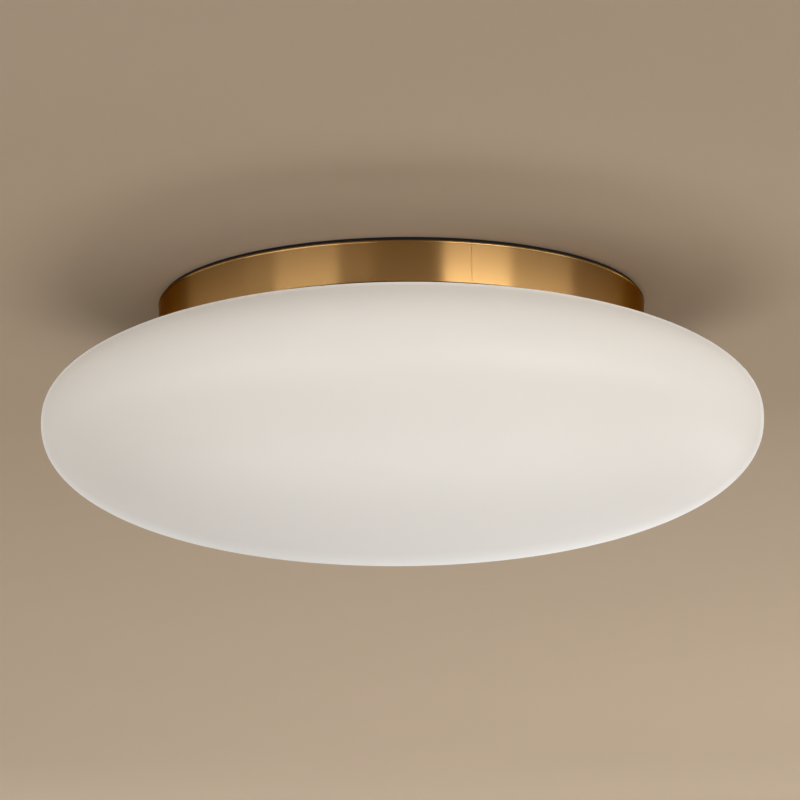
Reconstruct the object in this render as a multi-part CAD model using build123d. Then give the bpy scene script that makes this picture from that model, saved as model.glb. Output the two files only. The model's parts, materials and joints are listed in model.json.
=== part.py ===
from build123d import *
from math import acos, atan, cos, degrees, hypot, pi, radians, sin, sqrt, tan
import os

# Flush mount ceiling light: an oblate opal glass shade held by spring clips under a low brass band.
# Millimetres. The ceiling is the plane Z = 0, the light hangs below it, and its front faces -Y.

# ---- glass shade ----
glass_radius = 200.0            # outside, at the widest line
glass_rise = 58.6               # from the widest line up to where the upper curve would close
glass_drop = 65.8               # from the widest line down to the lowest point
glass_fullness = 2.263          # exponent of the outline: 2 is an ellipse, more is fuller
glass_wall = 3.2
bowl_steps = 9                  # straight steps from the widest line down to the lowest point
upper_steps = 6                 # and from the widest line up to the shoulder
neck_steps = 3                  # and round the bend from the neck to the shoulder
inner_step_share = 2 / 3        # of those numbers, for the coarser inside
neck_radius = 126.0             # outside of the neck
neck_height = 16.6              # from the rim down to the shoulder
shoulder_reach = 3.9            # how far the shoulder's curve runs out from the neck
lip_height = 4.2                # height of the bevelled lip round the rim
lip_bevel = 1.4
lip_reach = 3.2                 # how far the lip stands out from the neck
rim_seat_gap = 0.3              # between the glass rim and its pads

# ---- brass trim ring ----
shadow_gap = 1.8                # between the ceiling and the ring
ring_sheet = 1.0
ring_edge = 0.9                 # width of the turned-over top edge
ring_flange_width = 13.6        # from the ring's outside to the flange's inner edge
ring_pan_gap = 2.2              # between the pan's flange and the ring
ring_glass_gap = 0.35           # between the ring's lower edge and the glass
seam_angle = -74.1              # from +X: a little to the right of the front
seam_width = 0.3
seam_notch = 1.0                # side of the square notch at the seam's top
strap_width = 12.0
strap_sheet = 0.8
strap_margin = 3.0              # from the strap's ends to the ring's flange and lower edge
solder_gap = 0.05               # between pieces that are soldered or pushed together

# ---- base pan and gaskets ----
pan_sheet = 1.0
pan_step_gap = 0.3              # between the pan's raised middle and the ring's flange
pan_edge = 2.0                  # width of the bevel round the drawn edge
pan_flange_gap = 2.4            # between the pan's lower edge and the glass
clip_room = 2.2                 # between the lip and the inside of the pan's flange
ceiling_gasket_width = 20.0
ceiling_gasket_inset = 1.6      # from the ring's outside in to the gasket's edge
rim_pad_sheet = 3.0
rim_pad_margin = 1.2            # how far a pad covers past each side of the glass rim
rim_pad_length = 40.0
rim_pad_count = 3
rim_pad_first_angle = 0.0
fixing_room = 9.0               # from the gasket's inner edge in to the fixing holes' axes
fixing_hole_radius = 2.75
fixing_count = 3
cable_entry_y = 40.0

# ---- cable grommet ----
cable_bore_radius = 5.0
cable_waist_radius = 7.5        # where the grommet passes through the pan
cable_flange_radius = 9.5
cable_flange_top = 1.2
cable_flange_bottom = 2.4

# ---- spring clips ----
clip_count = 3
clip_first_angle = 60.0
clip_sheet = 0.6
clip_width = 14.0
clip_nose_gap = 0.35            # between the clip's nose and the neck
clip_nose_drop = 2.4            # from the lip's underside down to the nose
clip_knee_drop = 2.9            # from the nose down to the bend
clip_tip_rise = 3.9             # from the nose up to the clip's tip
clip_tip_gap = 0.7              # between the clip's tip and the pan's flange
clip_hook_height = 5.0          # the leg that holds the clip on the outside of the flange
clip_edge_gap = 0.1             # between the pan's lower edge and the clip's hook

# ---- light source ----
standoff_count = 3
standoff_first_angle = 30.0
plate_screw_room = 6.0          # from the board's edge out to the plate screws' axes
plate_edge_room = 7.0           # from those axes out to the plate's edge
standoff_across_flats = 7.0
standoff_bore_depth = 9.0
plate_sheet = 1.5
board_sheet = 1.6
board_edge_room = 2.6           # from the connector's hole to the board's edge
led_ring_count = 3
led_first_ring = 15.0
led_ring_pitch = 18.0
led_ring_chips = 8              # in the first ring, and how many more in each ring after it
led_length = 3.5
led_width = 2.8
led_height = 0.8
connector_length = 7.0
connector_width = 8.0
connector_flange = 1.5          # how far the connector's flange stands out round its body
connector_flange_sheet = 1.2
connector_rise = 1.5            # how far the connector stands above the carrier plate
connector_hole_gap = 0.5
connector_reach = 10.0          # from the driver's end to the connector's axis

# ---- driver ----
driver_length = 96.0
driver_width = 42.0
driver_height = 22.0
driver_base_height = 8.0
driver_y = -22.0
driver_wall = 1.8
driver_corner = 2.5
driver_edge = 1.0               # bevel round the cover
driver_air_gap = 7.0            # between the driver and the carrier plate
driver_ear_reach = 8.0
driver_ear_width = 16.0
driver_ear_sheet = 3.0
tab_width = 8.0
tab_lip = 4.0                   # how far a tab of the pan reaches over the driver's ear
tab_gap = 0.3                   # between a tab and the ear
circuit_sheet = 1.6
circuit_rail_height = 2.4
circuit_rail_width = 1.5
circuit_end_gap = 6.0           # between the driver's end and its circuit board
circuit_side_gap = 0.4          # between the circuit board and the case's wall
transformer_length = 24.0
transformer_width = 20.0
transformer_height = 12.0
heat_sink_x = 20.0
heat_sink_sheet = 3.0
heat_sink_height = 11.0
capacitor_radius = 5.0
capacitor_height = 11.5
capacitor_places = ((-26.0, 8.0), (31.0, -8.0))
driver_wire_drop = 10.7         # from the pan down to the wires
driver_wire_spread = 4.0        # half the distance between the mains wires
led_wire_spread = 1.5           # half the distance between the LED leads
wire_entry_depth = 4.0
wire_slot_gap = 0.4             # round the wires where they enter the driver

# ---- terminal block ----
terminal_depth = 20.0           # along X, the way the wires run
terminal_pitch = 7.0
terminal_pole_count = 3
terminal_end_wall = 1.5
terminal_height = 17.0
foot_length = 7.0               # snap foot, along X
foot_width = 9.0
foot_barb = 1.0                 # how far the foot's barbs reach over the pan
foot_barb_height = 1.2
foot_gap = 0.2                  # round the foot in the pan's slot
terminal_hole_width = 3.0
terminal_hole_depth = 6.0
terminal_wire_drop = 5.2        # from the pan down to the wires
terminal_wire_entry = 4.0
button_x = -4.0
button_length = 4.4             # along X
button_width = 3.4
button_flange_reach = 0.7       # how far the button's flange stands out from its stem
button_flange_height = 1.2
button_proud = 2.2
button_travel = 1.5
button_gap = 0.3
button_lip = 1.2                # thickness of the wall that keeps the button in

# ---- earth connection ----
earth_screw_x = 38.0
earth_screw_room = 7.0          # from the gasket's inner edge in to the earth screw's axis
ring_terminal_sheet = 0.8
ring_terminal_radius = 4.0
barrel_radius = 1.8
barrel_bore_radius = 1.35
barrel_length = 5.0
barrel_gap = 0.4                # between the washer and the barrel
washer_sheet = 0.6
washer_radius = 3.9
washer_tooth_count = 8
washer_tooth = 0.7              # depth of the teeth

# ---- leads and saddle ----
lead_sides = 8                  # flat sides that stand for the round sheath
mains_lead_radius = 1.1
lead_start_run = 34.0           # from the terminal block to the leads' first corner
lead_end_run = 24.0             # from the leads' last corner to the driver
neutral_bulge = 6.0             # how much further out the neutral lead runs
led_lead_radius = 0.9
led_lead_end_depth = 2.0
saddle_room = 13.0              # from the standoff beside it out to the saddle's middle
saddle_y = 30.0
saddle_turn = 12.0              # degrees between the leads there and the Y axis
saddle_length = 8.0
saddle_wall = 1.8
saddle_wire_drop = 8.7          # from the pan down to the leads
saddle_under = 2.4              # plastic under the leads
saddle_run = 28.0               # straight length of the leads through the saddle
lead_spacing = 7.3
lead_hole_gap = 0.3

# ---- fasteners ----
screw_radius = 1.95
screw_head_width = 7.0          # across flats
screw_head_height = 2.6
screw_hole_gap = 0.1
screw_grip = 1.0                # how far a screw's end passes the sheet it holds in

# ---- heights worked out from the sizes above ----
ring_top = -shadow_gap
pan_under = ring_top - pan_sheet            # of the pan's raised middle
rim_top = ring_top - ring_sheet             # of the pan's rim, under the ring's flange
rim_under = rim_top - pan_sheet
rim_z = rim_under - rim_pad_sheet - rim_seat_gap
shoulder_z = rim_z - neck_height
standoff_length = driver_height + driver_air_gap
plate_top = pan_under - standoff_length
plate_under = plate_top - plate_sheet
board_under = plate_under - board_sheet

# ---- radii worked out from the sizes above ----
shoulder_radius = neck_radius + shoulder_reach
lip_outer = neck_radius + lip_reach
pan_inner = lip_outer + clip_room
pan_radius = pan_inner + pan_sheet
ring_inner = pan_radius + ring_pan_gap
ring_radius = ring_inner + ring_sheet
ring_flange_inner = ring_radius - ring_flange_width
pan_step_radius = ring_flange_inner - pan_step_gap
neck_inner = neck_radius - glass_wall
gasket_outer = ring_radius - ceiling_gasket_inset
gasket_inner = gasket_outer - ceiling_gasket_width
fixing_circle_radius = gasket_inner - fixing_room

connector_x = -driver_length / 2 - connector_reach
board_radius = board_edge_room + hypot(
    connector_x - connector_length / 2 - connector_hole_gap,
    driver_y - connector_width / 2 - connector_hole_gap,
)
standoff_circle_radius = board_radius + plate_screw_room
plate_radius = standoff_circle_radius + plate_edge_room

earth_y = sqrt((gasket_inner - earth_screw_room) ** 2 - earth_screw_x**2)
terminal_y = earth_y - terminal_pitch


def outline_height(radius, widest, rise):
    """Height of the glass outline above its widest line."""
    return rise * (1 - (radius / widest) ** glass_fullness) ** (1 / glass_fullness)


def outline_slope(radius, widest, rise):
    """How steeply that outline falls, in height over radius."""
    ratio = radius / widest
    rest = 1 - ratio**glass_fullness
    return rise / widest * ratio ** (glass_fullness - 1) * rest ** (1 / glass_fullness - 1)


widest_z = shoulder_z - outline_height(shoulder_radius, glass_radius, glass_rise)


def glass_surface(radius):
    """Height of the shade's upper outside at a radius."""
    return widest_z + outline_height(radius, glass_radius, glass_rise)


ring_bottom = glass_surface(ring_inner) + ring_glass_gap
pan_bottom = glass_surface(pan_radius) + pan_flange_gap

hang = (Align.CENTER, Align.CENTER, Align.MAX)
stand = (Align.CENTER, Align.CENTER, Align.MIN)
along_x = Rot(0, 90, 0)


def around(count, first_angle, radius, z=0.0):
    """Places on a circle about the Z axis, each turned to face outwards."""
    return [
        Rot(0, 0, first_angle + step * 360 / count) * Pos(radius, 0, z)
        for step in range(count)
    ]


def flat_ring(inner, outer, top, height):
    return Pos(0, 0, top) * extrude(Circle(outer) - Circle(inner), amount=-height)


def turned(*edges, arc=360.0, start=0.0):
    """A solid turned about the Z axis from an outline in the XZ plane."""
    profile = make_face(Wire(list(edges)))
    return Rot(0, 0, start) * revolve(profile, Axis.Z, arc)


def outline(*points):
    """The edges of a closed outline in the XZ plane, from pairs of radius and height."""
    corners = [Vector(radius, 0, z) for radius, z in points]
    return [Edge.make_line(a, b) for a, b in zip(corners, corners[1:] + corners[:1])]


def hole(radius, top, depth):
    return Pos(0, 0, top) * Cylinder(radius, depth, align=hang)


def screw(length):
    """A hexagon-head screw that points up, with the underside of its head at the origin."""
    head = RegularPolygon(screw_head_width / 2, 6, major_radius=False)
    shank = Cylinder(screw_radius, length, align=stand)
    return extrude(head, amount=-screw_head_height) + shank


def screw_hole(top, depth):
    return hole(screw_radius + screw_hole_gap, top, depth)


def group(solids):
    return Compound(label="group", children=list(solids))


# ---- glass shade ----
def bowl_side(widest, rise, drop, shoulder, shoulder_height, neck, share):
    """One side of the glass as corners from the neck, round the widest line, to the lowest point.

    The curves run through corners at even steps of angle, so that the steps shorten towards
    the tight curve at the widest line. The share is of the numbers of steps.
    """
    slope = atan(outline_slope(shoulder, widest, rise))
    bend = pi / 2 - slope
    bend_radius = (shoulder - neck) / (1 - cos(bend))
    steps = round(share * neck_steps)
    bend_turns = [bend * step / steps for step in range(steps)]
    corners = [
        (
            neck + bend_radius * (1 - cos(turn)),
            shoulder_height + bend_radius * (sin(bend) - sin(turn)),
        )
        for turn in bend_turns
    ]

    power = 2 / glass_fullness
    first = acos((shoulder / widest) ** (1 / power))
    steps = round(share * upper_steps)
    upper_turns = [first * (1 - step / steps) for step in range(steps)]
    corners += [
        (widest * cos(turn) ** power, widest_z + rise * sin(turn) ** power)
        for turn in upper_turns
    ]
    steps = round(share * bowl_steps)
    lower_turns = [pi / 2 * step / steps for step in range(steps)]
    corners += [
        (widest * cos(turn) ** power, widest_z - drop * sin(turn) ** power)
        for turn in lower_turns
    ]
    return corners + [(0, widest_z - drop)]


def glass_shade():
    outer = bowl_side(
        glass_radius, glass_rise, glass_drop, shoulder_radius, shoulder_z, neck_radius, 1
    )
    slope = atan(outline_slope(shoulder_radius, glass_radius, glass_rise))
    inner_radius = glass_radius - glass_wall
    inner_rise = glass_rise - glass_wall
    inner_shoulder = shoulder_radius - glass_wall * sin(slope)
    inner_height = widest_z + outline_height(inner_shoulder, inner_radius, inner_rise)
    inner = bowl_side(
        inner_radius,
        inner_rise,
        glass_drop - glass_wall,
        inner_shoulder,
        inner_height,
        neck_inner,
        inner_step_share,
    )
    lip = [
        (neck_inner, rim_z),
        (lip_outer - lip_bevel, rim_z),
        (lip_outer, rim_z - lip_bevel),
        (lip_outer, rim_z - lip_height + lip_bevel),
        (lip_outer - lip_bevel, rim_z - lip_height),
        (neck_radius, rim_z - lip_height),
    ]
    return turned(*outline(*lip, *outer, *inner[::-1]))


# ---- brass trim ring ----
def trim_ring():
    """A rolled strip with a narrow bevel round its turned-over top and a butt seam."""
    ring = turned(
        *outline(
            (ring_flange_inner, ring_top),
            (ring_radius - ring_edge, ring_top),
            (ring_radius, ring_top - ring_edge),
            (ring_radius, ring_bottom),
            (ring_inner, ring_bottom),
            (ring_inner, rim_top),
            (ring_flange_inner, rim_top),
        )
    )
    slit = Pos(ring_flange_inner - ring_sheet, 0, 0) * Box(
        ring_radius,
        seam_width,
        4 * (ring_top - ring_bottom),
        align=(Align.MIN, Align.CENTER, Align.CENTER),
    )
    notch = Pos(ring_radius, 0, ring_top) * Rot(45, 0, 0) * Box(
        2 * ring_sheet, seam_notch, seam_notch
    )
    return ring - Rot(0, 0, seam_angle) * (slit + notch)


def seam_strap():
    outer = ring_inner - solder_gap
    top = rim_top - strap_margin
    bottom = ring_bottom + strap_margin
    arc = degrees(strap_width / outer)
    edges = outline(
        (outer, top), (outer, bottom), (outer - strap_sheet, bottom), (outer - strap_sheet, top)
    )
    return turned(*edges, arc=arc, start=seam_angle - arc / 2)


# ---- gaskets ----
def ceiling_gasket():
    return flat_ring(gasket_inner, gasket_outer, 0, shadow_gap)


def rim_pads():
    """Silicone pads under the pan that the glass rim closes against."""
    inner = neck_inner - rim_pad_margin
    outer = lip_outer - lip_bevel + rim_pad_margin
    bottom = rim_under - rim_pad_sheet
    arc = degrees(rim_pad_length / neck_radius)
    edges = outline((inner, rim_under), (outer, rim_under), (outer, bottom), (inner, bottom))
    pad = turned(*edges, arc=arc, start=-arc / 2)
    return group(place * pad for place in around(rim_pad_count, rim_pad_first_angle, 0))


# ---- base pan ----
def standoff_places(z=0.0):
    return around(standoff_count, standoff_first_angle, standoff_circle_radius, z)


terminal_width = terminal_pole_count * terminal_pitch + 2 * terminal_end_wall
ear_end = driver_length / 2 + driver_ear_reach


def driver_tab():
    """One tab bent out of the pan at +X, which hooks under the driver's ear from outside."""
    web = Box(
        pan_sheet,
        tab_width,
        driver_ear_sheet + tab_gap + pan_sheet,
        align=(Align.MIN, Align.CENTER, Align.MAX),
    )
    lip = Pos(pan_sheet, 0, -driver_ear_sheet - tab_gap) * Box(
        tab_lip + tab_gap + pan_sheet,
        tab_width,
        pan_sheet,
        align=(Align.MAX, Align.CENTER, Align.MAX),
    )
    return Pos(ear_end + tab_gap, 0, 0) * (web + lip)


def tab_window():
    """The hole that the tab leaves in the pan."""
    length = tab_lip + driver_ear_sheet
    window = Box(length, tab_width, 4 * pan_sheet, align=(Align.MIN, Align.CENTER, Align.CENTER))
    return Pos(ear_end + tab_gap + pan_sheet, 0, 0) * window


def base_pan():
    """A pan with a raised middle, which the ring's flange lies round, and a turned-down rim."""
    pan = turned(
        *outline(
            (0, ring_top),
            (pan_step_radius, ring_top),
            (pan_step_radius, rim_top),
            (pan_radius - pan_edge, rim_top),
            (pan_radius, rim_top - pan_edge),
            (pan_radius, pan_bottom),
            (pan_inner, pan_bottom),
            (pan_inner, rim_under),
            (pan_step_radius - pan_sheet, rim_under),
            (pan_step_radius - pan_sheet, pan_under),
            (0, pan_under),
        )
    )
    cuts = [
        place * hole(fixing_hole_radius, ring_top, pan_sheet)
        for place in around(fixing_count, 0, fixing_circle_radius)
    ]
    cuts += [Pos(0, cable_entry_y, 0) * hole(cable_waist_radius, ring_top, pan_sheet)]
    cuts += [Pos(earth_screw_x, earth_y, 0) * screw_hole(ring_top, pan_sheet)]
    cuts += [
        Pos(0, terminal_y, ring_top)
        * Box(foot_length + 2 * foot_gap, foot_width + 2 * foot_gap, pan_sheet, align=hang)
    ]
    sides = [Pos(0, driver_y, pan_under) * Rot(0, 0, turn) for turn in (0, 180)]
    cuts += [side * tab_window() for side in sides]
    return pan - cuts + [side * driver_tab() for side in sides]


# ---- cable grommet ----
def grommet(bore, waist, flange, sheet_top, sheet, above, below):
    """A rubber grommet with a groove round its waist for a sheet."""
    body = hole(flange, sheet_top + above, above)
    body += hole(waist, sheet_top, sheet)
    body += hole(flange, sheet_top - sheet, below)
    return body - hole(bore, sheet_top + above, above + sheet + below)


def cable_grommet():
    return Pos(0, cable_entry_y, 0) * grommet(
        cable_bore_radius,
        cable_waist_radius - solder_gap,
        cable_flange_radius,
        ring_top,
        pan_sheet,
        cable_flange_top,
        cable_flange_bottom,
    )


# ---- spring clips ----
def strip_outline(points, sheet):
    """The outline of a thin strip whose one face follows the points, with mitred bends."""
    runs = [(b - a).normalized() for a, b in zip(points, points[1:])]
    sides = [Vector(run.Z, 0, -run.X) for run in runs]
    mitres = [sides[0]]
    for before, after in zip(sides, sides[1:]):
        mitres.append((before + after) * (1 / (1 + before.dot(after))))
    mitres.append(sides[-1])
    back = [point + mitre * sheet for point, mitre in zip(points, mitres)]
    corners = points + back[::-1]
    return [Edge.make_line(a, b) for a, b in zip(corners, corners[1:] + corners[:1])]


def spring_clip():
    """One leaf clip, hooked over the pan's lower edge, with a nose that holds the glass lip.

    It runs from its leg outside the flange, under the edge and up the inside to a bend, in to
    the nose under the lip and out again to its tip beside the lip.
    """
    outside = pan_radius + solder_gap
    inside = pan_inner - solder_gap - clip_sheet
    edge_z = pan_bottom - clip_edge_gap - clip_sheet
    nose_z = rim_z - lip_height - clip_nose_drop
    points = [
        Vector(outside + clip_sheet, 0, edge_z + clip_hook_height),
        Vector(outside + clip_sheet, 0, edge_z),
        Vector(inside, 0, edge_z),
        Vector(inside, 0, nose_z - clip_knee_drop),
        Vector(neck_radius + clip_nose_gap, 0, nose_z),
        Vector(inside - clip_tip_gap, 0, nose_z + clip_tip_rise),
    ]
    arc = degrees(clip_width / pan_inner)
    return turned(*strip_outline(points, clip_sheet), arc=arc, start=-arc / 2)


def spring_clips():
    clip = spring_clip()
    return group(place * clip for place in around(clip_count, clip_first_angle, 0))


# ---- light source ----
def standoff():
    body = extrude(
        RegularPolygon(standoff_across_flats / 2, 6, major_radius=False),
        amount=-standoff_length,
    )
    return body - screw_hole(standoff_bore_depth - standoff_length, standoff_bore_depth)


def standoffs():
    return group(place * standoff() for place in standoff_places(pan_under))


def connector_shaft(gap, top, height):
    """The connector's body, or the hole that it passes through."""
    body = Box(connector_length + 2 * gap, connector_width + 2 * gap, height, align=hang)
    return Pos(connector_x, driver_y, top) * body


def led_plate():
    plate = hole(plate_radius, plate_top, plate_sheet)
    cuts = [place * screw_hole(plate_top, plate_sheet) for place in standoff_places()]
    return plate - cuts - connector_shaft(connector_hole_gap, plate_top, plate_sheet)


def plate_screws():
    length = plate_sheet + standoff_bore_depth - screw_grip
    return group(place * screw(length) for place in standoff_places(plate_under))


def led_board():
    board = hole(board_radius, plate_under, board_sheet)
    return board - connector_shaft(connector_hole_gap, plate_under, board_sheet)


def led_chips():
    chip = Box(led_width, led_length, led_height, align=hang)
    rings = [
        (led_first_ring + number * led_ring_pitch, led_ring_chips * (number + 1))
        for number in range(led_ring_count)
    ]
    return group(
        place * chip
        for radius, count in rings
        for place in around(count, 180 / count, radius, board_under)
    )


def board_connector():
    """The connector comes up through the board and the plate and takes its leads from above."""
    top = plate_top + connector_rise
    body = connector_shaft(0, top, top - board_under)
    body += connector_shaft(connector_flange, board_under, connector_flange_sheet)
    slot = Box(
        2 * (led_lead_radius + lead_hole_gap),
        2 * (led_wire_spread + led_lead_radius + lead_hole_gap),
        led_lead_end_depth + lead_hole_gap,
        align=hang,
    )
    return body - Pos(connector_x, driver_y, top) * slot


# ---- driver ----
driver_split = pan_under - driver_base_height
circuit_top = pan_under - driver_wall - circuit_rail_height
wire_z = pan_under - driver_wire_drop


def rounded_box(length, width, height, corner):
    block = Box(length, width, height, align=hang)
    return fillet(block.edges().filter_by(Axis.Z), corner)


def case_shell(height, floor_up):
    """One half of the driver's case, with its floor at the top or at the bottom."""
    shell = rounded_box(driver_length, driver_width, height, driver_corner)
    inside = Box(
        driver_length - 2 * driver_wall,
        driver_width - 2 * driver_wall,
        height - driver_wall,
        align=hang,
    )
    return shell - (Pos(0, 0, -driver_wall) * inside if floor_up else inside)


def driver_base():
    place = Pos(0, driver_y, pan_under)
    tray = place * case_shell(driver_base_height, True)
    ears = rounded_box(
        driver_length + 2 * driver_ear_reach,
        driver_ear_width,
        driver_ear_sheet,
        driver_corner,
    ) - Box(driver_length - driver_wall, driver_width, 2 * driver_height)
    tray += place * ears
    rail = Box(
        circuit_length, circuit_rail_width, driver_wall + circuit_rail_height, align=hang
    )
    reach = circuit_width / 2 - circuit_rail_width
    tray += [Pos(0, driver_y + side * reach, pan_under) * rail for side in (-1, 1)]
    return tray


circuit_length = driver_length - 2 * circuit_end_gap
circuit_width = driver_width - 2 * (driver_wall + circuit_side_gap)


def driver_cover():
    height = driver_height - driver_base_height
    cover = case_shell(height, False)
    cover = chamfer(cover.faces().sort_by(Axis.Z)[0].outer_wire().edges(), driver_edge)
    cover = Pos(0, driver_y, driver_split) * cover
    entries = [(1, mains_lead_radius, driver_wire_spread), (-1, led_lead_radius, led_wire_spread)]
    for end, radius, spread in entries:
        reach = radius + wire_slot_gap
        slot = Box(3 * driver_wall, 2 * (spread + reach), 2 * reach)
        cover -= Pos(end * driver_length / 2, driver_y, wire_z) * slot
    return cover


def driver_board():
    """The circuit board with its transformer, two capacitors and its heat sink."""
    board = Box(circuit_length, circuit_width, circuit_sheet, align=hang)
    transformer = Box(transformer_length, transformer_width, transformer_height, align=hang)
    heat_sink = Box(heat_sink_sheet, transformer_width, heat_sink_height, align=hang)
    capacitor = Cylinder(capacitor_radius, capacitor_height, align=hang)
    under = Pos(0, 0, -circuit_sheet)
    board += under * (transformer + Pos(heat_sink_x, 0, 0) * heat_sink)
    board += [under * Pos(x, y, 0) * capacitor for x, y in capacitor_places]
    return Pos(0, driver_y, circuit_top) * board


# ---- terminal block ----
terminal_under = pan_under - terminal_height
terminal_wire_z = pan_under - terminal_wire_drop
poles = [
    terminal_y + (number - (terminal_pole_count - 1) / 2) * terminal_pitch
    for number in range(terminal_pole_count)
]
button_chamber = 2 * button_gap + button_flange_height + button_travel


def terminal_block():
    block = rounded_box(terminal_depth, terminal_width, terminal_height, terminal_end_wall)
    foot = Box(foot_length, foot_width, pan_sheet + foot_barb_height, align=stand)
    barbs = Pos(0, 0, pan_sheet) * Box(
        foot_length + 2 * (foot_barb + foot_gap), foot_width, foot_barb_height, align=stand
    )
    block = Pos(0, terminal_y, pan_under) * (block + foot + barbs)
    entry = Box(2 * terminal_hole_depth, terminal_hole_width, terminal_hole_width)
    slot = Box(
        button_length + 2 * button_gap, button_width + 2 * button_gap, button_lip, align=stand
    )
    reach = 2 * (button_flange_reach + button_gap)
    chamber = Pos(0, 0, button_lip) * Box(
        button_length + reach, button_width + reach, button_chamber, align=stand
    )
    for pole in poles:
        block -= [
            Pos(side * terminal_depth / 2, pole, terminal_wire_z) * entry for side in (-1, 1)
        ]
        block -= Pos(button_x, pole, terminal_under) * (slot + chamber)
    return block


def button(pole):
    stem = Pos(0, 0, -button_proud) * Box(
        button_length, button_width, button_proud + button_lip + button_gap, align=stand
    )
    flange = Pos(0, 0, button_lip + button_gap) * Box(
        button_length + 2 * button_flange_reach,
        button_width + 2 * button_flange_reach,
        button_flange_height,
        align=stand,
    )
    press = stem + flange
    press = chamfer(press.edges().group_by(Axis.Z)[0], button_gap)
    return Pos(button_x, pole, terminal_under) * press


# ---- earth connection ----
earth_place = Pos(earth_screw_x, earth_y, pan_under)
barrel_reach = washer_radius + barrel_gap + barrel_length
barrel_z = -barrel_radius - 2 * solder_gap


def earth_ring_terminal():
    tongue_length = barrel_reach - barrel_length + 2 * ring_terminal_sheet
    ring = Cylinder(ring_terminal_radius, ring_terminal_sheet, align=hang)
    tongue = Box(
        tongue_length,
        2 * barrel_radius,
        ring_terminal_sheet,
        align=(Align.MAX, Align.CENTER, Align.MAX),
    )
    barrel_middle = -barrel_reach + barrel_length / 2
    barrel = Pos(barrel_middle, 0, barrel_z) * along_x * Cylinder(barrel_radius, barrel_length)
    bore = Pos(-barrel_reach, 0, barrel_z) * along_x * Cylinder(
        barrel_bore_radius, 2 * (barrel_length - ring_terminal_sheet)
    )
    return earth_place * (
        ring + tongue + barrel - bore - screw_hole(0, ring_terminal_sheet)
    )


def earth_washer():
    step = 180 / washer_tooth_count
    radii = (washer_radius, washer_radius - washer_tooth)
    teeth = [
        (Rot(0, 0, number * step) * Pos(radii[number % 2], 0, 0)).position
        for number in range(2 * washer_tooth_count)
    ]
    disc = extrude(Polygon(*teeth, align=None), amount=-washer_sheet)
    washer = Pos(0, 0, -ring_terminal_sheet) * (disc - screw_hole(0, washer_sheet))
    return earth_place * washer


def earth_screw():
    stack = ring_terminal_sheet + washer_sheet
    return earth_place * Pos(0, 0, -stack) * screw(stack + pan_sheet + screw_grip)


# ---- leads and saddle ----
saddle_x = standoff_circle_radius * cos(radians(standoff_first_angle)) + saddle_room
saddle_place = Pos(saddle_x, saddle_y, 0) * Rot(0, 0, saddle_turn)
saddle_wire_z = pan_under - saddle_wire_drop


def lead_saddle():
    height = saddle_wire_drop + saddle_under
    channel_width = 2 * (mains_lead_radius + lead_hole_gap)
    width = lead_spacing + channel_width + 2 * saddle_wall
    block = Box(width, saddle_length, height, align=hang)
    block = chamfer(block.edges().filter_by(Axis.Y).group_by(Axis.Z)[0], saddle_wall)
    channel = Pos(0, 0, -saddle_wire_drop + channel_width / 2) * Box(
        channel_width, 2 * saddle_length, height, align=hang
    )
    block -= [Pos(side * lead_spacing / 2, 0, 0) * channel for side in (-1, 1)]
    return saddle_place * Pos(0, 0, pan_under) * block


def lead(name, radius, points):
    """A lead along straight runs joined by arcs as large as the runs leave room for."""
    points = [Vector(*point) for point in points]
    runs = [b - a for a, b in zip(points, points[1:])]
    bends = []
    for before, after in zip(runs, runs[1:]):
        turn = radians(before.get_angle(after))
        bends.append(0.45 * min(before.length, after.length) / tan(turn / 2))
    path = FilletPolyline(*points, radius=bends)
    section = Plane(origin=path @ 0, z_dir=path % 0) * RegularPolygon(radius, lead_sides)
    tube = sweep(section, path=path)
    expected = section.area * path.length
    radii = " ".join(f"{bend:.1f}" for bend in bends)
    print(f"{name}: length {path.length:.1f}, bend radii {radii}, volume {tube.volume / expected:.4f}")
    return tube


def mains_lead(name, pole, rank, bulge):
    """A lead from the terminal block through the saddle to the driver; rank -1 is the inner one."""
    side = rank * lead_spacing / 2
    near = (saddle_place * Pos(side, saddle_run / 2, saddle_wire_z)).position
    far = (saddle_place * Pos(side, -saddle_run / 2, saddle_wire_z)).position
    wire_y = driver_y - rank * driver_wire_spread
    return lead(
        name,
        mains_lead_radius,
        [
            (terminal_depth / 2 - terminal_wire_entry, pole, terminal_wire_z),
            (terminal_depth / 2 + lead_start_run + bulge, pole, terminal_wire_z),
            near,
            far,
            (driver_length / 2 + lead_end_run + bulge, wire_y, wire_z),
            (driver_length / 2 - wire_entry_depth, wire_y, wire_z),
        ],
    )


def earth_lead():
    start = terminal_depth / 2 - terminal_wire_entry
    mouth = earth_screw_x - barrel_reach
    end_z = pan_under + barrel_z
    return lead(
        "earth_lead",
        mains_lead_radius,
        [
            (start, earth_y, terminal_wire_z),
            (start + (mouth - start) * 0.45, earth_y, terminal_wire_z),
            (start + (mouth - start) * 0.8, earth_y, end_z),
            (mouth + barrel_length / 2, earth_y, end_z),
        ],
    )


def led_lead(name, side):
    y = driver_y + side * led_wire_spread
    return lead(
        name,
        led_lead_radius,
        [
            (-driver_length / 2 + wire_entry_depth, y, wire_z),
            (connector_x, y, wire_z),
            (connector_x, y, plate_top + connector_rise - led_lead_end_depth),
        ],
    )


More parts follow.
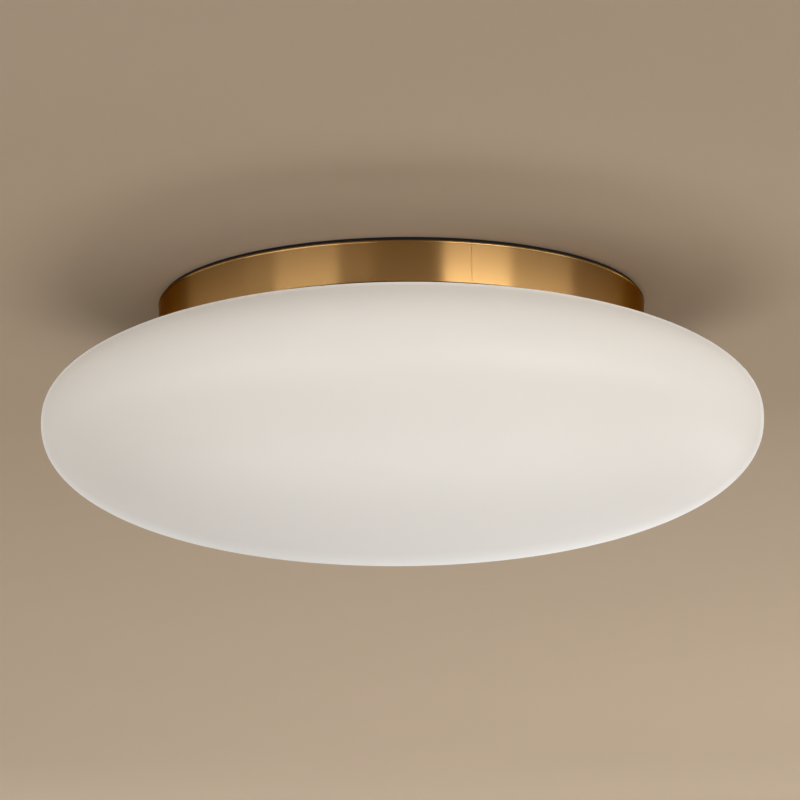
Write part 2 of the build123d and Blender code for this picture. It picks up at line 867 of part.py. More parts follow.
pieces = {
    "glass_shade": glass_shade(),
    "trim_ring": trim_ring(),
    "seam_strap": seam_strap(),
    "ceiling_gasket": ceiling_gasket(),
    "base_pan": base_pan(),
    "rim_pads": rim_pads(),
    "spring_clips": spring_clips(),
    "cable_grommet": cable_grommet(),
    "standoffs": standoffs(),
    "led_plate": led_plate(),
    "plate_screws": plate_screws(),
    "led_board": led_board(),
    "led_chips": led_chips(),
    "board_connector": board_connector(),
    "driver_base": driver_base(),
    "driver_cover": driver_cover(),
    "driver_board": driver_board(),
    "terminal_block": terminal_block(),
    "live_button": button(poles[0]),
    "neutral_button": button(poles[1]),
    "earth_button": button(poles[2]),
    "earth_screw": earth_screw(),
    "earth_washer": earth_washer(),
    "earth_ring_terminal": earth_ring_terminal(),
    "live_lead": mains_lead("live_lead", poles[0], -1, 0.0),
    "neutral_lead": mains_lead("neutral_lead", poles[1], 1, neutral_bulge),
    "earth_lead": earth_lead(),
    "led_plus_lead": led_lead("led_plus_lead", -1),
    "led_minus_lead": led_lead("led_minus_lead", 1),
    "lead_saddle": lead_saddle(),
}

os.makedirs("parts", exist_ok=True)
for name, solid in pieces.items():
    export_step(solid, f"parts/{name}.step")
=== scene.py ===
import json
from math import acos, atan, cos, degrees, pi, radians, sin, tan
import bmesh
import bpy
from mathutils import Matrix, Vector


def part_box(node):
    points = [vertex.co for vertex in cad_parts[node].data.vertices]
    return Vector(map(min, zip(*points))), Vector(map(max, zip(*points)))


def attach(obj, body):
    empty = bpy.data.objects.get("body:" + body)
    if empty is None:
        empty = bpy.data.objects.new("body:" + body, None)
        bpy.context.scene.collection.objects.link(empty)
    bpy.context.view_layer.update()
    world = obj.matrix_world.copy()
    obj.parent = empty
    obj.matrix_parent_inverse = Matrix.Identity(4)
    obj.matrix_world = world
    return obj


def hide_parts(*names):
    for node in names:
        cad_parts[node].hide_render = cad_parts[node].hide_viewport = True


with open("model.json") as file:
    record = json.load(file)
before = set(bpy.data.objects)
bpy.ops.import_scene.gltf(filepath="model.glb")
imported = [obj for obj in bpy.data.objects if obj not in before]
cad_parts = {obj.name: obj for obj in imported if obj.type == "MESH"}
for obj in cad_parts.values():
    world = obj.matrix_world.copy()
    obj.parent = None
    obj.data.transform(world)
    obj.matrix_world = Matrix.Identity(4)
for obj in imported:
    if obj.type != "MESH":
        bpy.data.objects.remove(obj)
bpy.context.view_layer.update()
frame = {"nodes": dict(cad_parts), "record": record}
nodes = frame["nodes"]

MM = 0.001

# ---- sizes of the glass in metres, as the solids have them ----
GLASS_RADIUS = 0.200
GLASS_RISE = 0.0586              # from the widest line up to the curve's own top
GLASS_DROP = 0.0658              # from the widest line down to the lowest point
GLASS_POWER = 2 / 2.263          # the curve's exponent, where 1 would be an ellipse
GLASS_WALL = 0.0032
NECK_RADIUS = 0.126
SHOULDER_RADIUS = 0.1299
RIM_Z = -0.0071
SHOULDER_Z = RIM_Z - 0.0166
LIP_HEIGHT = 0.0042
LIP_OUTER = 0.1292


def bowl_height(radius, widest, rise):
    """Height of the bowl's curve above its widest line."""
    return rise * (1 - (radius / widest) ** (2 / GLASS_POWER)) ** (GLASS_POWER / 2)


WIDEST_Z = SHOULDER_Z - bowl_height(SHOULDER_RADIUS, GLASS_RADIUS, GLASS_RISE)

# ---- camera, below the ceiling and looking up at the glass ----
CAMERA_DISTANCE = 2.0
CAMERA_TILT = radians(13.035)
CAMERA_ROLL = radians(0.521)
CAMERA_LENS = 161.9              # in millimetres, as is the sensor's width
SENSOR_WIDTH = 36.0
NEAREST = 0.02
AIM_UP = 0.0150                  # from the middle of the glass to the picture's middle
AIM_LEFT = 0.00126

forward = Vector((0, cos(CAMERA_TILT), sin(CAMERA_TILT)))
upward = Vector((0, -sin(CAMERA_TILT), cos(CAMERA_TILT)))
bowl_centre = Vector((0, 0, WIDEST_Z))
eye = bowl_centre - CAMERA_DISTANCE * forward
target = bowl_centre + AIM_UP * upward - Vector((AIM_LEFT, 0, 0))
view = (target - eye).normalized()
level = view.cross(Vector((0, 0, 1))).normalized()
over = level.cross(view)
image_right = cos(CAMERA_ROLL) * level - sin(CAMERA_ROLL) * over
image_up = sin(CAMERA_ROLL) * level + cos(CAMERA_ROLL) * over
turn = Matrix((image_right, image_up, -view)).transposed()
camera = bpy.data.objects.new("camera", bpy.data.cameras.new("camera"))
camera.data.lens = CAMERA_LENS
camera.data.sensor_width = SENSOR_WIDTH
camera.data.clip_start = NEAREST
camera.matrix_world = Matrix.Translation(eye) @ turn.to_4x4()
bpy.context.scene.collection.objects.link(camera)
bpy.context.scene.camera = camera
bpy.context.scene.view_settings.view_transform = "Standard"


# ---- mesh helpers ----
def make_object(name, vertices, faces, sharp=32.0, merge=0.0):
    """A smooth mesh object whose edges are sharp above an angle."""
    mesh = bpy.data.meshes.new(name)
    mesh.from_pydata([tuple(vertex) for vertex in vertices], [], faces)
    work = bmesh.new()
    work.from_mesh(mesh)
    if merge:
        bmesh.ops.remove_doubles(work, verts=work.verts, dist=merge)
        bmesh.ops.dissolve_degenerate(work, dist=merge, edges=work.edges)
        loose = [edge for edge in work.edges if not edge.link_faces]
        bmesh.ops.delete(work, geom=loose, context="EDGES")
    bmesh.ops.recalc_face_normals(work, faces=work.faces)
    work.to_mesh(mesh)
    work.free()
    mesh.shade_smooth()
    mesh.set_sharp_from_angle(angle=radians(sharp))
    piece = bpy.data.objects.new(name, mesh)
    bpy.context.scene.collection.objects.link(piece)
    return piece


def lathe(name, columns, closed=True, **options):
    """A mesh turned about the Z axis from pairs of an angle and its closed profile of (radius, height)."""
    count = len(columns[0][1])
    vertices = []
    for angle, profile in columns:
        vertices += [(radius * cos(angle), radius * sin(angle), z) for radius, z in profile]
    faces = []
    for column in range(len(columns) if closed else len(columns) - 1):
        here = column * count
        beside = (column + 1) % len(columns) * count
        for point in range(count):
            after = (point + 1) % count
            faces.append((here + point, beside + point, beside + after, here + after))
    if not closed:
        last = (len(columns) - 1) * count
        faces.append(tuple(range(count)))
        faces.append(tuple(range(last, last + count)))
    return make_object(name, vertices, faces, **options)


def corner(centre, radius, first, last, steps):
    """Points of an arc in the profile plane, angles in degrees."""
    turns = [radians(first + (last - first) * step / steps) for step in range(steps + 1)]
    return [(centre[0] + radius * cos(angle), centre[1] + radius * sin(angle)) for angle in turns]


# ---- materials ----
MIX_FACTOR, MIX_FIRST, MIX_SECOND, MIX_RESULT = 0, 6, 7, 2      # a colour mix's sockets


class Material:
    """A procedural material round one Principled shader, textured in the row frame."""

    def __init__(self, name, colour, roughness, metallic=0.0, **sockets):
        self.data = bpy.data.materials.new(name)
        self.data.use_nodes = True
        self.tree = self.data.node_tree
        self.shader = self.tree.nodes["Principled BSDF"]
        self.colour = colour
        self.roughness = roughness
        self.set("Base Color", (*colour, 1))
        self.set("Roughness", roughness)
        self.set("Metallic", metallic)
        for socket, value in sockets.items():
            self.set(socket.replace("_", " "), value)
        self.place = self.node("TexCoord").outputs["Object"]

    def set(self, socket, value):
        """Sets a constant on one of the shader's sockets."""
        self.shader.inputs[socket].default_value = value

    def node(self, kind, **values):
        """A new shader node with its own settings."""
        made = self.tree.nodes.new("ShaderNode" + kind)
        for key, value in values.items():
            setattr(made, key, value)
        return made

    def link(self, source, target):
        self.tree.links.new(source, target)

    def scaled(self, scale):
        """The row frame's coordinates times a scale for each axis."""
        mapping = self.node("Mapping")
        mapping.inputs["Scale"].default_value = scale
        self.link(self.place, mapping.inputs["Vector"])
        return mapping.outputs["Vector"]

    def noise(self, scale, detail=3.0, place=None, contrast=0.5):
        """A noise from 0 to 1, steeper as the contrast falls."""
        texture = self.node("TexNoise")
        texture.inputs["Scale"].default_value = scale
        texture.inputs["Detail"].default_value = detail
        self.link(place or self.place, texture.inputs["Vector"])
        return self.ramp(texture.outputs[0], 0.5 - contrast / 2, 0.5 + contrast / 2)

    def ramp(self, value, low, high, to_low=0.0, to_high=1.0):
        """A value moved from one range to another, and kept inside it."""
        ranged = self.node("MapRange")
        self.link(value, ranged.inputs["Value"])
        for socket, number in zip(
            ("From Min", "From Max", "To Min", "To Max"), (low, high, to_low, to_high)
        ):
            ranged.inputs[socket].default_value = number
        return ranged.outputs["Result"]

    def maths(self, operation, *values):
        """The result of a sum over numbers and sockets."""
        made = self.node("Math", operation=operation)
        for socket, value in zip(made.inputs, values):
            if isinstance(value, (int, float)):
                socket.default_value = value
            else:
                self.link(value, socket)
        return made.outputs[0]

    def tint(self, factor, colour):
        """Mixes a second colour into the base colour by a factor from 0 to 1."""
        mixed = self.node("Mix", data_type="RGBA")
        self.link(factor, mixed.inputs[MIX_FACTOR])
        before = self.shader.inputs["Base Color"]
        if before.links:
            self.link(before.links[0].from_socket, mixed.inputs[MIX_FIRST])
        else:
            mixed.inputs[MIX_FIRST].default_value = (*self.colour, 1)
        mixed.inputs[MIX_SECOND].default_value = (*colour, 1)
        self.link(mixed.outputs[MIX_RESULT], before)

    def polish(self, value, spread):
        """Lets the roughness vary with a value by plus or minus a spread."""
        rough = self.ramp(value, 0, 1, self.roughness - spread, self.roughness + spread)
        self.link(rough, self.shader.inputs["Roughness"])

    def bump(self, value, depth, strength=1.0):
        """Raises the surface by a value times a depth in metres."""
        made = self.node("Bump")
        made.inputs["Distance"].default_value = depth
        made.inputs["Strength"].default_value = strength
        self.link(value, made.inputs["Height"])
        before = self.shader.inputs["Normal"]
        if before.links:
            self.link(before.links[0].from_socket, made.inputs["Normal"])
        self.link(made.outputs["Normal"], before)

    def axes(self):
        """The row frame's three coordinates."""
        split = self.node("SeparateXYZ")
        self.link(self.place, split.inputs[0])
        return split.outputs

    def around(self, along, across):
        """Coordinates that run round the Z axis, for marks that follow the circle."""
        x, y, z = self.axes()
        angle = self.maths("ARCTAN2", y, x)
        join = self.node("CombineXYZ")
        self.link(self.maths("MULTIPLY", angle, along), join.inputs[0])
        self.link(self.maths("MULTIPLY", self.radius(), across), join.inputs[1])
        self.link(self.maths("MULTIPLY", z, across), join.inputs[2])
        return join.outputs[0]

    def radius(self):
        """Distance from the Z axis."""
        x, y, _ = self.axes()
        square = self.maths("ADD", self.maths("MULTIPLY", x, x), self.maths("MULTIPLY", y, y))
        return self.maths("SQRT", square)


def shaded(colour, share):
    """A colour times a share."""
    return tuple(channel * share for channel in colour)


def moulded(name, colour, roughness=0.42, grain=1400.0, depth=0.02 * MM, **sockets):
    """Moulded plastic with a fine eroded grain and faint colour variation."""
    made = Material(name, colour, roughness, **sockets)
    fine = made.noise(grain, 2.0, contrast=0.6)
    made.tint(made.noise(45.0, contrast=0.4), shaded(colour, 0.93))
    made.polish(made.noise(160.0), 0.06)
    made.bump(fine, depth)
    return made.data


def metal(name, colour, roughness, lines=(20.0, 900.0, 900.0), depth=0.004 * MM, **sockets):
    """Sheet metal with fine rolling lines along one axis and a cloudy finish."""
    made = Material(name, colour, roughness, metallic=1.0, **sockets)
    streaks = made.noise(1.0, 4.0, place=made.scaled(lines), contrast=0.5)
    made.tint(made.noise(60.0, contrast=0.5), shaded(colour, 0.86))
    made.polish(streaks, 0.08)
    made.bump(streaks, depth)
    return made.data


def opal_glass():
    """Satin opal glass, dense and evenly pale, with a clearer, whiter rim where it is seen edge-on, which is
    a painted highlight in the base colour.
    """
    painted_rim_start = 0.84
    painted_rim_full = 0.96
    made = Material(
        "opal_glass",
        (0.815, 0.798, 0.762),
        0.5,
        IOR=1.45,
        Diffuse_Roughness=1.0,
        Subsurface_Weight=0.12,
        Subsurface_Radius=(1.0, 0.9, 0.75),
        Subsurface_Scale=0.006,
        Sheen_Weight=0.3,
        Sheen_Roughness=0.3,
    )
    made.tint(made.noise(9.0, 2.0, contrast=0.5), (0.80, 0.785, 0.752))
    # painted highlight: the base colour is mixed towards white by how edge-on the surface is seen, standing
    # in for a bright rim
    edge = made.node("LayerWeight")
    edge.inputs["Blend"].default_value = 0.5
    made.tint(made.ramp(edge.outputs["Facing"], painted_rim_start, painted_rim_full), (0.97, 0.985, 0.975))
    made.polish(made.noise(70.0, 3.0), 0.03)
    made.bump(made.noise(2600.0, 1.0), 0.006 * MM)
    return made.data


def brushed_brass():
    """Brass with fine strokes round the band, so that its highlights spread upright, and a thin lacquer."""
    made = Material(
        "brushed_brass",
        (0.44, 0.262, 0.10),
        0.26,
        metallic=1.0,
        Anisotropic=0.97,
        Anisotropic_Rotation=0.25,
        Coat_Weight=0.06,
        Coat_Roughness=0.2,
        Specular_Tint=(0.55, 0.32, 0.1, 1.0),
    )
    tangent = made.node("Tangent", direction_type="RADIAL", axis="Z")
    made.link(tangent.outputs[0], made.shader.inputs["Tangent"])
    strokes = made.noise(1.0, 3.0, place=made.around(3.0, 5200.0), contrast=0.6)
    long_strokes = made.noise(1.0, 2.0, place=made.around(1.2, 1500.0), contrast=0.6)
    made.tint(made.maths("MULTIPLY", long_strokes, 0.35), (0.40, 0.235, 0.086))
    made.polish(strokes, 0.014)
    return made.data


def powder_coat():
    """White powder coat with its fine orange peel."""
    made = Material("white_steel", (0.80, 0.80, 0.78), 0.46, Coat_Weight=0.08)
    made.tint(made.noise(30.0, contrast=0.5), (0.77, 0.77, 0.745))
    made.polish(made.noise(400.0), 0.05)
    made.bump(made.noise(700.0, 2.0), 0.02 * MM)
    return made.data


def foam():
    """Black closed-cell foam."""
    made = Material("foam", (0.005, 0.005, 0.005), 0.95, Specular_IOR_Level=0.1)
    cells = made.node("TexVoronoi")
    cells.inputs["Scale"].default_value = 1600.0
    made.link(made.place, cells.inputs["Vector"])
    made.tint(made.ramp(cells.outputs["Distance"], 0.0, 0.5), (0.012, 0.012, 0.012))
    made.bump(cells.outputs["Distance"], 0.12 * MM)
    return made.data


def zinc():
    """Zinc plating with its faint yellow and blue bloom."""
    made = Material("zinc_steel", (0.62, 0.63, 0.64), 0.33, metallic=1.0)
    made.tint(made.noise(420.0, 2.0, contrast=0.4), (0.60, 0.58, 0.50))
    made.tint(made.noise(250.0, 2.0, contrast=0.3), (0.50, 0.54, 0.62))
    made.polish(made.noise(900.0), 0.09)
    made.bump(made.noise(2400.0), 0.006 * MM)
    return made.data


CHIP_RINGS = ((0.015, 8), (0.033, 16), (0.051, 24))     # each ring's radius and its number of chips
TRACK_HALF_WIDTH = 0.0024


def board_white():
    """White solder resist over copper tracks, which show as faint raised rings."""
    made = Material("board_white", (0.86, 0.865, 0.85), 0.28, Coat_Weight=0.2)
    radius = made.radius()
    tracks = None
    for ring, _ in CHIP_RINGS:
        offset = made.maths("ABSOLUTE", made.maths("SUBTRACT", radius, ring))
        track = made.maths("LESS_THAN", offset, TRACK_HALF_WIDTH)
        tracks = track if tracks is None else made.maths("MAXIMUM", tracks, track)
    faint = made.maths("MULTIPLY", tracks, 0.5)
    made.tint(faint, (0.76, 0.78, 0.74))
    made.tint(made.maths("MULTIPLY", made.noise(80.0), 0.35), (0.80, 0.80, 0.78))
    made.polish(made.noise(500.0), 0.05)
    made.bump(tracks, 0.035 * MM)
    return made.data


def rubber(name, colour, roughness=0.62):
    """Matt rubber with a fine grain."""
    made = Material(name, colour, roughness)
    made.tint(made.noise(300.0), shaded(colour, 1.6))
    made.polish(made.noise(120.0), 0.1)
    made.bump(made.noise(1800.0, 2.0), 0.02 * MM)
    return made.data


EARTH_Y = 100.02                 # of the earth lead's middle line, in millimetres


def sheath(name, colour, stripe=None):
    """The sheath of a lead, slightly glossy and uneven. The earth lead's has a second colour on one side."""
    made = Material(name, colour, 0.38, Coat_Weight=0.1)
    if stripe:
        _, y, _ = made.axes()
        made.tint(made.ramp(y, EARTH_Y * MM, (EARTH_Y + 0.05) * MM), stripe)
    made.tint(made.noise(220.0, contrast=0.4), shaded(colour, 0.8))
    made.polish(made.noise(700.0), 0.08)
    made.bump(made.noise(900.0, 1.0), 0.012 * MM)
    return made.data


soft_white = dict(Subsurface_Weight=0.4, Subsurface_Scale=0.002)
soft_yellow = dict(Subsurface_Weight=0.3, Subsurface_Scale=0.0006)
soft_nylon = dict(Subsurface_Weight=0.25, Subsurface_Scale=0.001)
along_y = (1400.0, 25.0, 1400.0)
finishes = {
    "opal_glass": opal_glass(),
    "brushed_brass": brushed_brass(),
    "white_steel": powder_coat(),
    "foam": foam(),
    "silicone": moulded("silicone", (0.74, 0.74, 0.71), 0.5, **soft_white),
    "spring_steel": metal("spring_steel", (0.56, 0.565, 0.57), 0.26),
    "zinc_steel": zinc(),
    "tinned_copper": metal("tinned_copper", (0.68, 0.66, 0.62), 0.30),
    "black_rubber": rubber("black_rubber", (0.022, 0.022, 0.022)),
    "aluminium_plate": metal("aluminium_plate", (0.70, 0.71, 0.72), 0.34, lines=along_y),
    "board_white": board_white(),
    "led_phosphor": moulded("led_phosphor", (0.83, 0.60, 0.14), 0.35, **soft_yellow),
    "connector_white": moulded("connector_white", (0.78, 0.77, 0.71), 0.4),
    "driver_white": moulded("driver_white", (0.74, 0.745, 0.73), 0.48, grain=1100.0, depth=0.03 * MM),
    "circuit_green": moulded("circuit_green", (0.03, 0.14, 0.06), 0.3),
    "terminal_grey": moulded("terminal_grey", (0.42, 0.42, 0.40), 0.45),
    "button_brown": moulded("button_brown", (0.13, 0.055, 0.02), 0.4),
    "button_blue": moulded("button_blue", (0.03, 0.09, 0.35), 0.4),
    "button_green": moulded("button_green", (0.05, 0.22, 0.05), 0.4),
    "lead_brown": sheath("lead_brown", (0.12, 0.05, 0.02)),
    "lead_blue": sheath("lead_blue", (0.02, 0.08, 0.38)),
    "lead_green_yellow": sheath("lead_green_yellow", (0.62, 0.52, 0.03), stripe=(0.03, 0.26, 0.05)),
    "lead_red": sheath("lead_red", (0.38, 0.012, 0.012)),
    "lead_black": sheath("lead_black", (0.02, 0.02, 0.022)),
    "saddle_nylon": moulded("saddle_nylon", (0.74, 0.72, 0.64), 0.4, **soft_nylon),
}

for row in frame["record"]["subparts"]:
    piece = nodes[row["node"]]
    piece.data.materials.clear()
    piece.data.materials.append(finishes[row["material_slot"]])

# ---- rounded edges of the solids, in millimetres ----
EDGES = {
    "base_pan": 0.25,
    "rim_pads": 0.5,
    "spring_clips": 0.12,
    "cable_grommet": 0.6,
    "standoffs": 0.25,
    "led_plate": 0.2,
    "plate_screws": 0.35,
    "led_board": 0.15,
    "board_connector": 0.3,
    "driver_base": 0.35,
    "driver_cover": 0.4,
    "driver_board": 0.3,
    "terminal_block": 0.4,
    "live_button": 0.3,
    "neutral_button": 0.3,
    "earth_button": 0.3,
    "earth_screw": 0.35,
    "earth_washer": 0.08,
    "earth_ring_terminal": 0.15,
    "lead_saddle": 0.4,
}
EDGE_ANGLE = radians(38)
SAME_POINT = 1e-6
for name, width in EDGES.items():
    weld = nodes[name].modifiers.new("weld", "WELD")
    weld.merge_threshold = SAME_POINT
    edge = nodes[name].modifiers.new("edge", "BEVEL")
    edge.width = width * MM
    edge.segments = 2
    edge.limit_method = "ANGLE"
    edge.angle_limit = EDGE_ANGLE
    edge.harden_normals = True


def dress(piece, slot, body, *replaced, others=()):
    """Gives a new piece its finish and its body, and hides the solids that it stands for."""
    piece.data.materials.append(finishes[slot])
    for other in others:
        piece.data.materials.append(other)
    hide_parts(*replaced)
    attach(piece, body)


# ---- glass shade ----
OUTER_STEPS = 48
INNER_STEPS = 30
GLASS_COLUMNS = 256
RIM_POLISH = 0.0012              # radius of the rim's inner edge


def bowl_slope(radius, widest, rise):
    """How steeply the bowl's curve falls at a radius."""
    ratio = radius / widest
    rest = 1 - ratio ** (2 / GLASS_POWER)
    return rise / widest * ratio ** (2 / GLASS_POWER - 1) * rest ** (GLASS_POWER / 2 - 1)


def bowl_side(widest, rise, drop, shoulder, shoulder_height, neck, steps):
    """One side of the glass from the neck, round the widest line, to the lowest point."""
    bend = pi / 2 - atan(bowl_slope(shoulder, widest, rise))
    radius = (shoulder - neck) / (1 - cos(bend))
    neck_steps = steps // 5
    points = [
        (
            neck + radius * (1 - cos(bend * step / neck_steps)),
            shoulder_height + radius * (sin(bend) - sin(bend * step / neck_steps)),
        )
        for step in range(neck_steps)
    ]
    first = acos((shoulder / widest) ** (1 / GLASS_POWER))
    for turns, height in (
        ([first * (1 - step / steps) for step in range(steps)], rise),
        ([pi / 2 * step / steps for step in range(steps)], -drop),
    ):
        points += [
            (widest * cos(angle) ** GLASS_POWER, WIDEST_Z + height * sin(angle) ** GLASS_POWER)
            for angle in turns
        ]
    return points + [(0.0, WIDEST_Z - drop)]


def glass_profile():
    """The shell's closed outline: the rim and its lip, then the outside down and the inside up."""
    fall = bowl_slope(SHOULDER_RADIUS, GLASS_RADIUS, GLASS_RISE)
    inner_shoulder = SHOULDER_RADIUS - GLASS_WALL * sin(atan(fall))
    inner_widest = GLASS_RADIUS - GLASS_WALL
    inner_rise = GLASS_RISE - GLASS_WALL
    inner_height = WIDEST_Z + bowl_height(inner_shoulder, inner_widest, inner_rise)
    outer = bowl_side(
        GLASS_RADIUS,
        GLASS_RISE,
        GLASS_DROP,
        SHOULDER_RADIUS,
        SHOULDER_Z,
        NECK_RADIUS,
        OUTER_STEPS,
    )
    inner = bowl_side(
        inner_widest,
        inner_rise,
        GLASS_DROP - GLASS_WALL,
        inner_shoulder,
        inner_height,
        NECK_RADIUS - GLASS_WALL,
        INNER_STEPS,
    )
    half = LIP_HEIGHT / 2
    lip_foot = RIM_Z - LIP_HEIGHT
    lip = corner((NECK_RADIUS - GLASS_WALL + RIM_POLISH, RIM_Z - RIM_POLISH), RIM_POLISH, 180, 90, 4)
    lip += corner((LIP_OUTER - half, RIM_Z - half), half, 90, -62, 12)
    lip += [(NECK_RADIUS + 0.3 * MM, lip_foot - 0.1 * MM), (NECK_RADIUS, lip_foot - 0.8 * MM)]
    return lip + outer + inner[::-1]


side = glass_profile()
glass = lathe(
    "glass_bowl",
    [(2 * pi * step / GLASS_COLUMNS, side) for step in range(GLASS_COLUMNS)],
    sharp=60,
    merge=1e-7,
)
dress(glass, "opal_glass", "shade", "glass_shade")


# ---- brass ring ----
RING_RADIUS = 0.1356
RING_TOP = -0.0018
RING_SHEET = 0.001
RING_FLANGE_INNER = 0.122
RING_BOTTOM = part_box("trim_ring")[0].z
RING_COLUMNS = 288
BEAD_RADIUS = 0.0009             # of the rolled top edge
BEAD_PROUD = 0.00028             # how far the roll stands out from the band
BEAD_DEPTH = 0.0024              # from the top to where the roll has run out into the band
EDGE_BREAK = 0.00022             # radius of the broken lower edges
SEAM_ANGLE = -74.1
SEAM_WIDTH = 0.00018
NOTCH_SIZE = 0.0007              # width and depth of the small notch at the seam's top
NOTCH_REACH = 0.0030             # how far the notch runs inwards from the roll's middle
NOTCH_SHARES = (0.0, 0.33, 0.66, 1.0)


def ring_profile(dip=0.0):
    """The rolled strip: a bead along its turned-over edge, which may dip, and a broken lower edge."""
    inner = RING_RADIUS - RING_SHEET
    centre = RING_RADIUS + BEAD_PROUD - BEAD_RADIUS
    foot = degrees(acos((RING_RADIUS - centre) / BEAD_RADIUS))
    break_z = RING_BOTTOM + EDGE_BREAK
    edge = [(centre - NOTCH_REACH, RING_TOP)]
    edge += corner((centre, RING_TOP - BEAD_RADIUS), BEAD_RADIUS, 90, -foot, 12)
    points = [(RING_FLANGE_INNER, RING_TOP), (centre - NOTCH_REACH - 0.1 * MM, RING_TOP)]
    points += [(radius, min(z, RING_TOP - dip)) for radius, z in edge]
    points += [(RING_RADIUS, RING_TOP - BEAD_DEPTH)]
    points += corner((RING_RADIUS - EDGE_BREAK, break_z), EDGE_BREAK, 0, -90, 4)
    points += corner((inner + EDGE_BREAK, break_z), EDGE_BREAK, 270, 180, 4)
    points += [(inner, RING_TOP - RING_SHEET), (RING_FLANGE_INNER, RING_TOP - RING_SHEET)]
    return points


def ring_columns():
    """The band from one side of its seam round to the other, with the notch at both sides."""
    ways = [SEAM_WIDTH / 2 + NOTCH_SIZE * share for share in NOTCH_SHARES]
    dips = [NOTCH_SIZE * (1 - share) for share in NOTCH_SHARES]
    start = ways[-1] / RING_RADIUS
    sweep = 2 * pi - 2 * start
    seam = radians(SEAM_ANGLE)
    columns = [(seam + way / RING_RADIUS, ring_profile(dip)) for way, dip in zip(ways, dips)]
    columns += [
        (seam + start + sweep * step / RING_COLUMNS, ring_profile())
        for step in range(1, RING_COLUMNS)
    ]
    columns += [
        (seam + 2 * pi - way / RING_RADIUS, ring_profile(dip))
        for way, dip in zip(ways[::-1], dips[::-1])
    ]
    return columns


ring = lathe("brass_ring", ring_columns(), closed=False)
dress(ring, "brushed_brass", "root", "trim_ring")


# ---- light-emitting diodes ----
BOARD_UNDER = -0.0349
CHIP_WIDTH = 0.0028
CHIP_LENGTH = 0.0035
CHIP_HEIGHT = 0.0008
CHIP_CUT = 0.0002                # of the package's corners
CHIP_ROUND = 0.00016             # what the package's face is smaller than its body
CHIP_ROUND_DEPTH = 0.00012
WINDOW_RIM = 0.0004              # what the window is smaller than the body
WINDOW_CUT = 0.0004
WINDOW_DEPTH = 0.00012
SOLDER_HALF_WIDTH = 0.0009
SOLDER_REACH = 0.0004
SOLDER_FOOT = 0.00014
PHOSPHOR, PACKAGE, SOLDER = 0, 1, 2      # the finishes' places on the piece


def cut_rectangle(width, length, cut, z):
    """Eight points of a rectangle with cut corners, in the chip's own axes."""
    x = width / 2
    y = length / 2
    return [
        (x, cut - y, z),
        (x, y - cut, z),
        (x - cut, y, z),
        (cut - x, y, z),
        (-x, y - cut, z),
        (-x, cut - y, z),
        (cut - x, -y, z),
        (x - cut, -y, z),
    ]


def solder_end(end):
    """The soldered fillet at one end of a package: its points and its faces."""
    y = end * CHIP_LENGTH / 2
    out = end * SOLDER_REACH
    points = []
    for x in (-SOLDER_HALF_WIDTH, SOLDER_HALF_WIDTH):
        points += [
            (x, y - out / 4, 0),
            (x, y + out, 0),
            (x, y + out / 3, -SOLDER_FOOT),
            (x, y - out / 4, -SOLDER_REACH),
        ]
    faces = [(point, (point + 1) % 4, 4 + (point + 1) % 4, 4 + point) for point in range(4)]
    return points, faces + [(0, 1, 2, 3), (4, 5, 6, 7)]


def led_package():
    """One package at the origin: its points, its faces and the finish of each face."""
    loops = [
        cut_rectangle(width, CHIP_LENGTH - CHIP_WIDTH + width, cut, z)
        for width, cut, z in (
            (CHIP_WIDTH, CHIP_CUT, 0.0),
            (CHIP_WIDTH, CHIP_CUT, CHIP_ROUND_DEPTH - CHIP_HEIGHT),
            (CHIP_WIDTH - CHIP_ROUND, CHIP_CUT, -CHIP_HEIGHT),
            (CHIP_WIDTH - WINDOW_RIM, WINDOW_CUT, -CHIP_HEIGHT),
            (CHIP_WIDTH - 1.6 * WINDOW_RIM, WINDOW_CUT, WINDOW_DEPTH - CHIP_HEIGHT),
        )
    ]
    sides = len(loops[0])
    points = [point for loop in loops for point in loop]
    faces = []
    for row in range(len(loops) - 1):
        low = sides * row
        high = low + sides
        for point in range(sides):
            after = (point + 1) % sides
            faces.append((low + point, low + after, high + after, high + point))
    kinds = [PACKAGE] * len(faces)
    faces.append(tuple(range(len(points) - sides, len(points))))
    kinds.append(PHOSPHOR)
    for end in (-1, 1):
        end_points, end_faces = solder_end(end)
        faces += [tuple(len(points) + corner_point for corner_point in face) for face in end_faces]
        kinds += [SOLDER] * len(end_faces)
        points += end_points
    return points, faces, kinds


def led_packages():
    """The white packages on the board, each with a phosphor window and two soldered ends."""
    points, package_faces, package_kinds = led_package()
    vertices = []
    faces = []
    kinds = []
    for radius, count in CHIP_RINGS:
        for number in range(count):
            angle = pi / count + 2 * pi * number / count
            place = Matrix.Rotation(angle, 4, "Z") @ Matrix.Translation((radius, 0, BOARD_UNDER))
            base = len(vertices)
            vertices += [place @ Vector(point) for point in points]
            faces += [tuple(base + point for point in face) for face in package_faces]
            kinds += package_kinds
    return make_object("led_packages", vertices, faces, sharp=25.0), kinds


package_white = moulded("package_white", (0.84, 0.84, 0.82), 0.32, grain=3000.0, depth=0.004 * MM)
packages, kinds = led_packages()
dress(
    packages,
    "led_phosphor",
    "root",
    "led_chips",
    others=(package_white, finishes["tinned_copper"]),
)
for polygon, kind in zip(packages.data.polygons, kinds):
    polygon.material_index = kind


# ---- leads inside the light, their places in millimetres as in the solids ----
MAINS_RADIUS = 1.1
LED_RADIUS = 0.9
BLOCK_X = 6.0                    # where the leads come out of the terminal block
BLOCK_Z = -8.0
LIVE_Y = 86.02
NEUTRAL_Y = 93.02
DRIVER_X = 44.0                  # of both ends of the driver
DRIVER_Z = -13.5
SADDLE_X = 78.84
SADDLE_Y = 30.0
SADDLE_Z = -11.5
SADDLE_TURN = radians(12.0)
SADDLE_REACH = 14.0              # how far the leads run straight on both sides of the saddle
LEAD_SIDE = 3.65                 # from the saddle's middle to each lead
CONNECTOR_X = -58.0
CONNECTOR_TOP = -32.3


